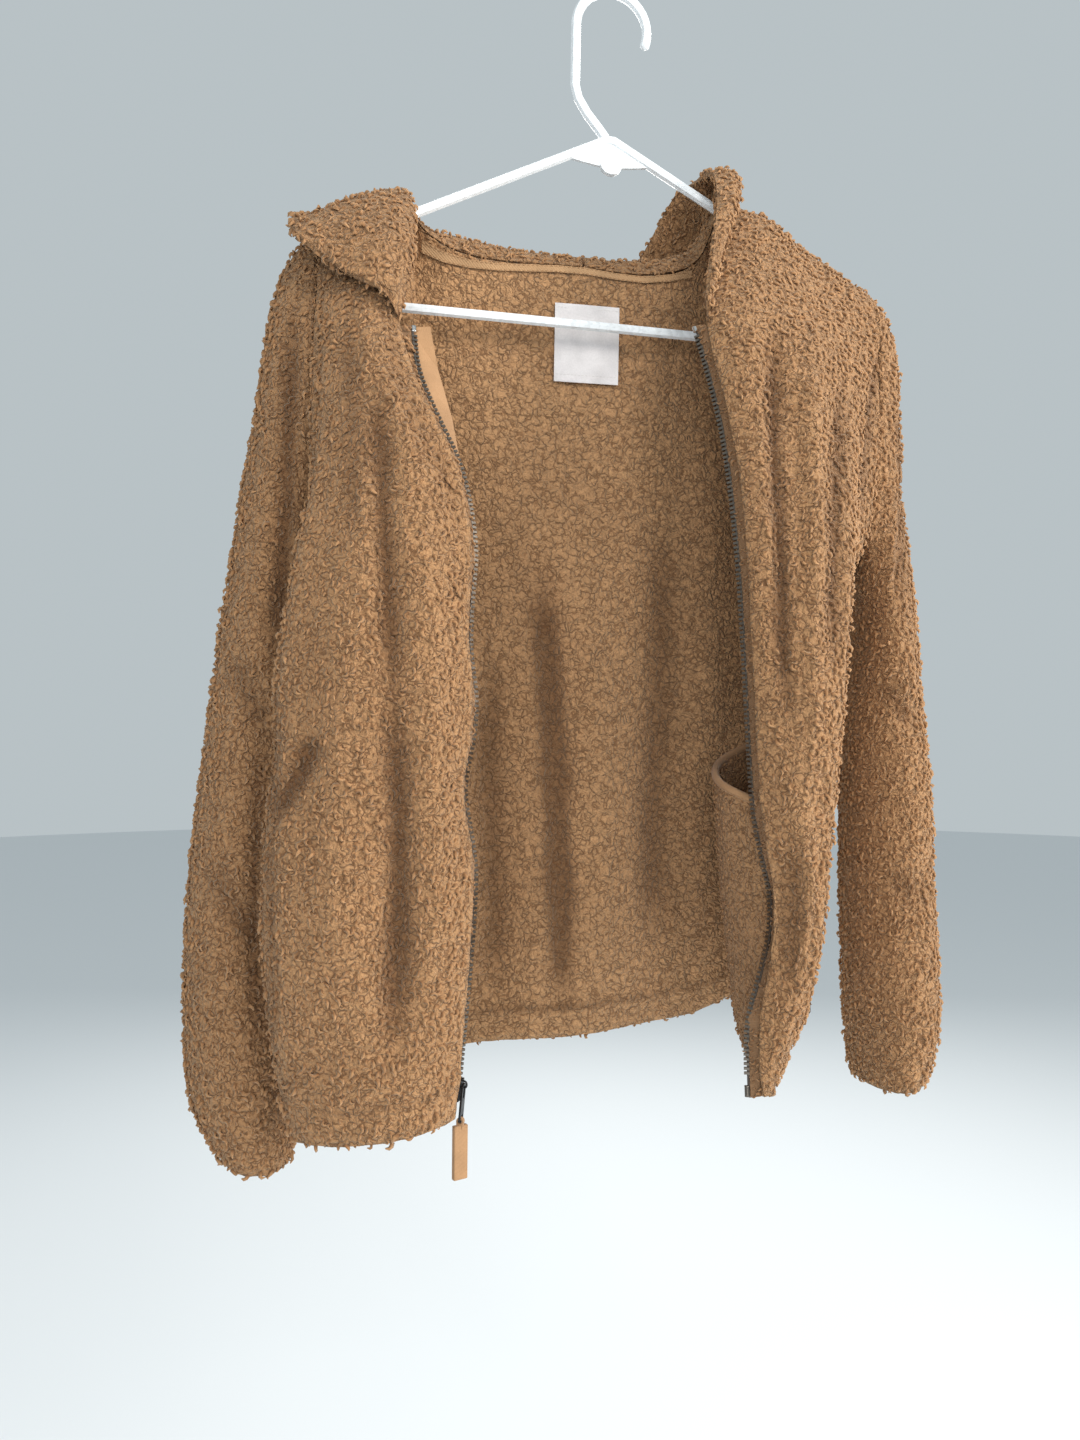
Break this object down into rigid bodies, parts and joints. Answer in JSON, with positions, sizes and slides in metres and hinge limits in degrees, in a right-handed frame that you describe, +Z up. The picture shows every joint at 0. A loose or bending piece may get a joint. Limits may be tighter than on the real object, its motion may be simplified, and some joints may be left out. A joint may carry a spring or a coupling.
{
  "type": "fleece jacket on a hanger",
  "caption": "Hooded sherpa-fleece jacket with an open full-length metal zip, long sleeves and inside pocket bags, hung on a tubular plastic hanger.",
  "frame": {"origin": "inside top of the hanger's hook, where it bears on a rail", "axes": "+X towards the wearer's left, -Y out of the jacket's front, +Z up"},
  "size_m": [0.5451, 0.201, 0.8079],
  "materials": {
    "fleece": "curly matt pile",
    "twill": "matt cotton twill",
    "label": "smooth woven",
    "zip": "matt woven tape",
    "hanger": "glossy white",
    "metal": "semi-gloss black"
  },
  "bodies": {
    "jacket": {"back": "fleece", "front_right": "fleece", "front_left": "fleece", "sleeve_right": "fleece", "sleeve_left": "fleece", "hood_right": "fleece", "hood_left": "fleece", "neck_tape": "twill", "label": "label", "zip_tape_right": "zip", "zip_tape_left": "zip", "zip_facing_right": "twill", "zip_facing_left": "twill", "pocket_bag_right": "fleece", "pocket_bag_left": "fleece", "hanger": "hanger", "slider": "metal"},
    "pull": {"pull_tab": "metal", "puller": "twill"}
  },
  "joints": [
    {"name": "pull_hinge", "type": "hinge", "parent": "jacket", "child": "pull", "pos_m": [-0.11879, -0.08583, -0.73674], "axis": [-0.4832, -0.8754, 0.0104], "range_deg": [0, 150]}
  ]
}
